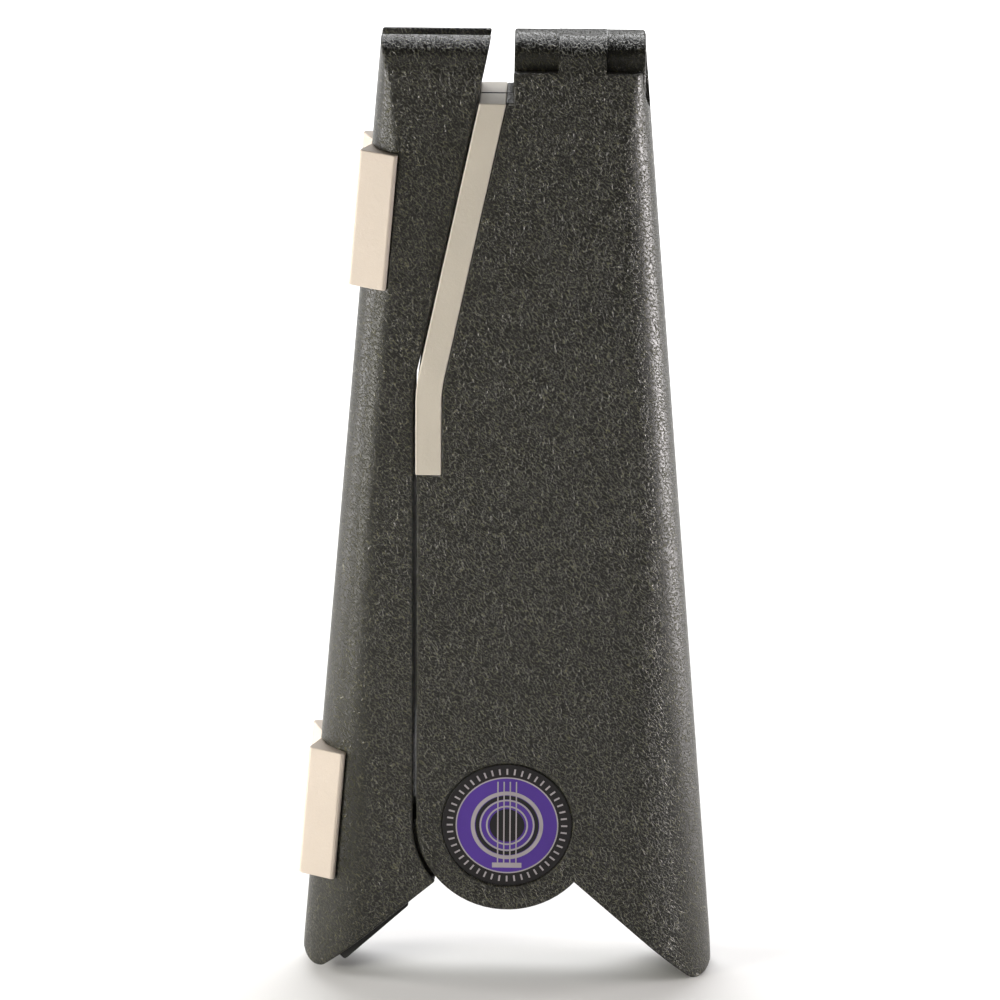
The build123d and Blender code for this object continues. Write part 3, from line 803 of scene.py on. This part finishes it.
class STAND_OT_soft_parts(Operator):
    """Rounds the feet, pads and bumpers and gives them their elastomer finishes"""

    bl_idname = "stand.soft_parts"
    bl_label = "Feet, Pads and Bumpers"

    def execute(self, context):
        soft = context.scene.stand_soft
        foot = elastomer_material("Foot Elastomer", tuple(soft.foot_colour), 0.62, 0.95)
        pad = elastomer_material("Pad Elastomer", tuple(soft.pad_colour), 0.55, 0.93)
        bumper = elastomer_material("Bumper Rubber", tuple(soft.bumper_colour), 0.6, 0.7)
        for side in SIDES:
            for part, material, slot in (
                ("toe_foot", foot, "foot"), ("heel_foot", foot, "foot"), ("backrest_pad", pad, "pad"),
                ("cradle_pad", pad, "pad"), ("stop_bumper", bumper, "bumper"),
            ):
                rounded_copy(f"{side}_{part}", soft.edge_radius, material)
        return {"FINISHED"}


class STAND_OT_badges(Operator):
    """Makes the round badges with their ring of ticks and sound-hole drawing"""

    bl_idname = "stand.badges"
    bl_label = "Badges"

    def execute(self, context):
        settings = context.scene.stand_badge
        printed = made_once("Printed Badge", badge_material)
        pale = print_material("Badge Pale Ink and Rim Highlight", tuple(settings.mark_colour))
        dark = print_material("Badge Dark Ink", tuple(settings.ring_colour))
        for side in SIDES:
            low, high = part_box(f"{side}_badge")
            out = -1.0 if side == "front" else 1.0
            face = low.y if side == "front" else high.y
            centre = (PIVOT_X, PIVOT_Z)
            rounded_copy(f"{side}_badge", 0.10 * MM, printed)
            middle = (PIVOT_X, face + out * INK / 2, PIVOT_Z)
            ticks = grow(f"{side}_badge_ticks", [middle], tick_ring_tree(), {
                "Count": settings.ticks, "Radius": 0.885 * BADGE_RADIUS, "Length": 1.5 * MM,
                "Width": 0.42 * MM, "Thickness": INK, "Material": pale,
            })
            light = bmesh.new()
            # Painted highlight: the first pale ring, on the border, stands in for the light on the recess
            # rim; the rest are the printed sound-hole drawing.
            for inner, outer in PRINT_AND_RIM_HIGHLIGHT_RINGS:
                flat_ring(light, centre, inner * BADGE_RADIUS, outer * BADGE_RADIUS, face, face + out * INK)
            for step in range(4):
                x = PIVOT_X + (step - 1.5) * 1.5 * MM
                flat_bar(light, (x - 0.16 * MM, face, PIVOT_Z - 0.70 * BADGE_RADIUS),
                         (x + 0.16 * MM, face + out * 2.2 * INK, PIVOT_Z + 0.72 * BADGE_RADIUS))
            flat_bar(light, (PIVOT_X - 3.6 * MM, face, PIVOT_Z - 0.70 * BADGE_RADIUS),
                     (PIVOT_X + 3.6 * MM, face + out * 2.4 * INK, PIVOT_Z - 0.62 * BADGE_RADIUS))
            shade = bmesh.new()
            flat_ring(shade, centre, 0.0, 0.27 * BADGE_RADIUS, face, face + out * INK)
            flat_ring(shade, centre, 0.43 * BADGE_RADIUS, 0.49 * BADGE_RADIUS, face, face + out * INK)
            for piece in (
                ticks, shaped_piece(f"{side}_badge_drawing_and_rim_highlight", light, pale),
                shaped_piece(f"{side}_badge_sound_hole", shade, dark),
            ):
                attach(piece, BODY_OF_NODE[f"{side}_badge"])
        return {"FINISHED"}


class STAND_OT_hardware(Operator):
    """Makes the cross-head screws and finishes the washers and hinge pin"""

    bl_idname = "stand.hardware"
    bl_label = "Screws, Washers and Pin"

    def execute(self, context):
        steel = steel_material("Turned Steel", (0.56, 0.55, 0.53), 0.3)
        zinc = steel_material("Zinc-Plated Steel", (0.42, 0.42, 0.43), 0.34)
        for side in SIDES:
            inward = 1.0 if side == "front" else -1.0
            turn = Euler((math.radians(-90 * inward), 0.0, math.radians(28))).to_quaternion().to_euler()
            for part in ("upright_screws", "arm_screws", "pivot_screw"):
                source = f"{side}_{part}"
                boxes = loose_boxes(source)
                head = abs(boxes[0][1].x - boxes[0][0].x) / 2
                height = (0.85 if part == "pivot_screw" else 1.0) * MM
                shank = (1.5 if part == "pivot_screw" else 1.1) * MM
                inner_y = [high.y if side == "front" else low.y for low, high in boxes]
                points = [
                    ((low.x + high.x) / 2, y, (low.z + high.z) / 2) for (low, high), y in zip(boxes, inner_y)
                ]
                piece = grow(source + "_finish", points, screw_tree(), {
                    "Head Radius": head, "Head Height": height, "Shank Radius": shank,
                    "Shank Length": abs(boxes[0][1].y - boxes[0][0].y) - height - 0.1 * MM,
                    "Recess": 0.55 * MM, "Turn": turn, "Material": zinc,
                })
                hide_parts(source)
                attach(piece, BODY_OF_NODE[source])
            for part in ("pivot_washer", "wave_washer"):
                rounded_copy(f"{side}_{part}", 0.1 * MM, steel, segments=2)
        rounded_copy("hinge_pin", 0.3 * MM, steel)
        return {"FINISHED"}


class STAND_OT_stage(Operator):
    """Sets the floor, the studio lights and the camera"""

    bl_idname = "stand.stage"
    bl_label = "Stage"

    def execute(self, context):
        stage = context.scene.stand_stage
        floor_mesh = bpy.data.meshes.new("floor")
        work = bmesh.new()
        bmesh.ops.create_grid(work, x_segments=1, y_segments=1, size=6.0)
        work.to_mesh(floor_mesh)
        work.free()
        floor = put_in_scene("floor", floor_mesh)
        material, _, shader, _ = start_material("Pale Floor")
        shader.inputs["Base Color"].default_value = (0.74, 0.74, 0.74, 1.0)
        shader.inputs["Roughness"].default_value = 0.9
        floor_mesh.materials.append(material)

        world = bpy.data.worlds.new("Studio")
        context.scene.world = world
        world.use_nodes = True
        sky = world.node_tree
        background = sky.nodes["Background"]
        background.inputs["Color"].default_value = (1.0, 1.0, 1.0, 1.0)
        seen = node(sky, "ShaderNodeLightPath").outputs["Is Camera Ray"]
        link(sky, remap(sky, seen, 0.0, 1.0, DIM_SKY, SEEN_SKY), background.inputs["Strength"])

        for name, place, size, power, colour in LAMPS:
            light = bpy.data.lights.new(name, "AREA")
            light.shape = "RECTANGLE"
            light.size, light.size_y = size
            light.energy = power
            light.color = colour
            lamp = put_in_scene(name, light)
            lamp.visible_camera = False
            lamp.location = place
            if name != "backdrop_light":
                lamp.rotation_euler = (AIM - Vector(place)).to_track_quat("-Z", "Y").to_euler()

        camera_data = bpy.data.cameras.new("main_camera")
        camera_data.sensor_width = SENSOR
        camera_data.lens = LENS_PER_SENSOR * SENSOR * stage.distance / CAMERA_DISTANCE
        camera_data.shift_x, camera_data.shift_y = LENS_SHIFT
        camera_data.clip_end = 20.0
        camera = put_in_scene("main_camera", camera_data)
        level = math.cos(stage.elevation)
        back = Vector((
            math.sin(stage.azimuth) * level, -math.cos(stage.azimuth) * level, math.sin(stage.elevation)
        ))
        camera.location = AIM + back * stage.distance
        look = (-back).to_track_quat("-Z", "Y").to_matrix().to_4x4()
        camera.matrix_world = (
            Matrix.Translation(camera.location) @ look @ Matrix.Rotation(stage.roll, 4, "Z")
        )
        context.scene.camera = camera
        context.scene.view_settings.view_transform = "Standard"
        return {"FINISHED"}


OPERATORS = (
    STAND_OT_shells, STAND_OT_covers, STAND_OT_soft_parts, STAND_OT_badges, STAND_OT_hardware, STAND_OT_stage,
)


class STAND_PT_build(Panel):
    """Lists the build steps and their settings"""

    bl_idname = "STAND_PT_build"
    bl_label = "Folding Stand"
    bl_space_type = "VIEW_3D"
    bl_region_type = "UI"
    bl_category = "Stand"

    def draw(self, context):
        for operator in OPERATORS:
            self.layout.operator(operator.bl_idname)
        for name, group in SETTINGS.items():
            box = self.layout.box()
            for field in group.__annotations__:
                box.prop(getattr(context.scene, name), field)


def register():
    for group in SETTINGS.values():
        bpy.utils.register_class(group)
    for name, group in SETTINGS.items():
        setattr(bpy.types.Scene, name, PointerProperty(type=group))
    for operator in OPERATORS:
        bpy.utils.register_class(operator)
    bpy.utils.register_class(STAND_PT_build)


def unregister():
    bpy.utils.unregister_class(STAND_PT_build)
    for operator in reversed(OPERATORS):
        bpy.utils.unregister_class(operator)
    for name, group in SETTINGS.items():
        delattr(bpy.types.Scene, name)
        bpy.utils.unregister_class(group)


def main():
    register()
    bpy.ops.stand.shells()
    bpy.ops.stand.covers()
    bpy.ops.stand.soft_parts()
    bpy.ops.stand.badges()
    bpy.ops.stand.hardware()
    bpy.ops.stand.stage()


if __name__ == "__main__":
    main()
